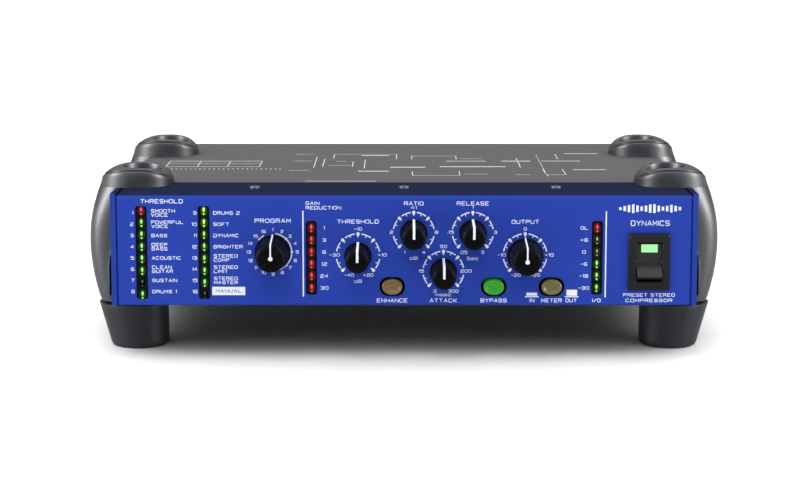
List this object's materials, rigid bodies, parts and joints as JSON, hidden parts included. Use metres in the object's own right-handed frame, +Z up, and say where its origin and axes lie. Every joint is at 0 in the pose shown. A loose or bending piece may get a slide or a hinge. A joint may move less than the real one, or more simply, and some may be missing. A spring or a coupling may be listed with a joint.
{
  "type": "desktop audio compressor",
  "caption": "Half-rack desktop audio compressor: metal case with dials, lit buttons, light bars and rocker switch between two bumpers with stacking pads, on feet.",
  "frame": {"origin": "on the table, under the middle of the whole object", "axes": "+X to the right seen from the front, +Y towards the rear, +Z up; the front panel faces -Y"},
  "size_m": [0.239, 0.168, 0.069],
  "materials": {
    "blue_paint": "satin powder coat",
    "trim_paint": "satin powder coat",
    "zinc_steel": "zinc plated",
    "black_sheet": "fine textured powder coat",
    "cover_paint": "fine textured powder coat",
    "bumper_plastic": "fine moulded grain",
    "foot_rubber": "moulded rubber",
    "screw_steel": "plated",
    "ledge_screw_paint": "painted",
    "board_green": "solder mask",
    "spacer_brass": "turned",
    "knob_black": "fine satin",
    "shaft_metal": "turned",
    "pot_body": "moulded",
    "button_amber": "translucent",
    "button_green": "translucent, lit",
    "button_olive": "translucent",
    "black_plastic": "moulded",
    "light_green": "lit lens",
    "light_red": "lit lens",
    "lens_green": "lit lens",
    "capacitor_sleeve": "shrink sleeve",
    "chip_black": "moulded",
    "ribbon_grey": "flat cable",
    "heat_sink_metal": "extruded",
    "print_white": "screen print"
  },
  "bodies": {
    "case": {"front_bezel": "blue_paint", "trim_left": "trim_paint", "trim_right": "trim_paint", "front_brace": "zinc_steel", "chassis_tray": "black_sheet", "top_cover": "cover_paint", "rear_panel": "black_sheet", "bumper_left": "bumper_plastic", "bumper_right": "bumper_plastic", "foot_front_left": "foot_rubber", "foot_front_right": "foot_rubber", "foot_rear_left": "foot_rubber", "foot_rear_right": "foot_rubber", "foot_screws": "screw_steel", "foot_nuts": "screw_steel", "bumper_screws": "screw_steel", "ledge_screws": "ledge_screw_paint", "main_board": "board_green", "control_board": "board_green", "board_spacers": "spacer_brass", "board_screws": "screw_steel", "control_pots": "pot_body", "program_encoder": "pot_body", "button_switches": "black_plastic", "list_light_bars": "black_plastic", "meter_light_bars": "black_plastic", "list_lights": "light_green", "meter_lights": "light_red", "power_switch_frame": "black_plastic", "switch_terminals": "spacer_brass", "input_jacks": "black_plastic", "output_jacks": "black_plastic", "sidechain_jack": "black_plastic", "jack_nuts": "screw_steel", "level_switch": "pot_body", "power_inlet": "black_plastic", "capacitors": "capacitor_sleeve", "chips": "chip_black", "ribbon_cable": "ribbon_grey", "regulator": "chip_black", "heat_sink": "heat_sink_metal"},
    "program_dial": {"program_knob": "knob_black", "program_shaft": "shaft_metal"},
    "threshold_dial": {"threshold_knob": "knob_black", "threshold_shaft": "shaft_metal"},
    "ratio_dial": {"ratio_knob": "knob_black", "ratio_shaft": "shaft_metal"},
    "attack_dial": {"attack_knob": "knob_black", "attack_shaft": "shaft_metal"},
    "release_dial": {"release_knob": "knob_black", "release_shaft": "shaft_metal"},
    "output_dial": {"output_knob": "knob_black", "output_shaft": "shaft_metal"},
    "enhance_cap": {"enhance_button": "button_amber"},
    "bypass_cap": {"bypass_button": "button_green"},
    "meter_cap": {"meter_button": "button_olive"},
    "rocker": {"power_rocker": "black_plastic", "rocker_lens": "lens_green"},
    "level_plunger": {"level_button": "black_plastic"}
  },
  "joints": [
    {"name": "program_turn", "type": "hinge", "parent": "case", "child": "program_dial", "pos_m": [-0.0481, -0.07, 0.0411], "axis": [0, 1, 0], "continuous": true},
    {"name": "threshold_turn", "type": "hinge", "parent": "case", "child": "threshold_dial", "pos_m": [-0.0169, -0.07, 0.0399], "axis": [0, 1, 0], "range_deg": [-135, 135]},
    {"name": "ratio_turn", "type": "hinge", "parent": "case", "child": "ratio_dial", "pos_m": [0.0035, -0.07, 0.04835], "axis": [0, 1, 0], "range_deg": [-135, 135]},
    {"name": "attack_turn", "type": "hinge", "parent": "case", "child": "attack_dial", "pos_m": [0.0144, -0.07, 0.0339], "axis": [0, 1, 0], "range_deg": [-135, 135]},
    {"name": "release_turn", "type": "hinge", "parent": "case", "child": "release_dial", "pos_m": [0.0251, -0.07, 0.04835], "axis": [0, 1, 0], "range_deg": [-135, 135]},
    {"name": "output_turn", "type": "hinge", "parent": "case", "child": "output_dial", "pos_m": [0.0443, -0.07, 0.0399], "axis": [0, 1, 0], "range_deg": [-135, 135]},
    {"name": "enhance_press", "type": "slide", "parent": "case", "child": "enhance_cap", "axis": [0, 1, 0], "range_m": [0, 0.002], "stiffness_N_per_m": 300, "springref_m": -0.001},
    {"name": "bypass_press", "type": "slide", "parent": "case", "child": "bypass_cap", "axis": [0, 1, 0], "range_m": [0, 0.002], "stiffness_N_per_m": 300, "springref_m": -0.001},
    {"name": "meter_press", "type": "slide", "parent": "case", "child": "meter_cap", "axis": [0, 1, 0], "range_m": [0, 0.002], "stiffness_N_per_m": 300, "springref_m": -0.001},
    {"name": "power_rock", "type": "hinge", "parent": "case", "child": "rocker", "pos_m": [0.0897, -0.0707, 0.0375], "axis": [1, 0, 0], "range_deg": [0, 20]},
    {"name": "level_press", "type": "slide", "parent": "case", "child": "level_plunger", "axis": [0, -1, 0], "range_m": [0, 0.002], "stiffness_N_per_m": 300, "springref_m": -0.001}
  ]
}
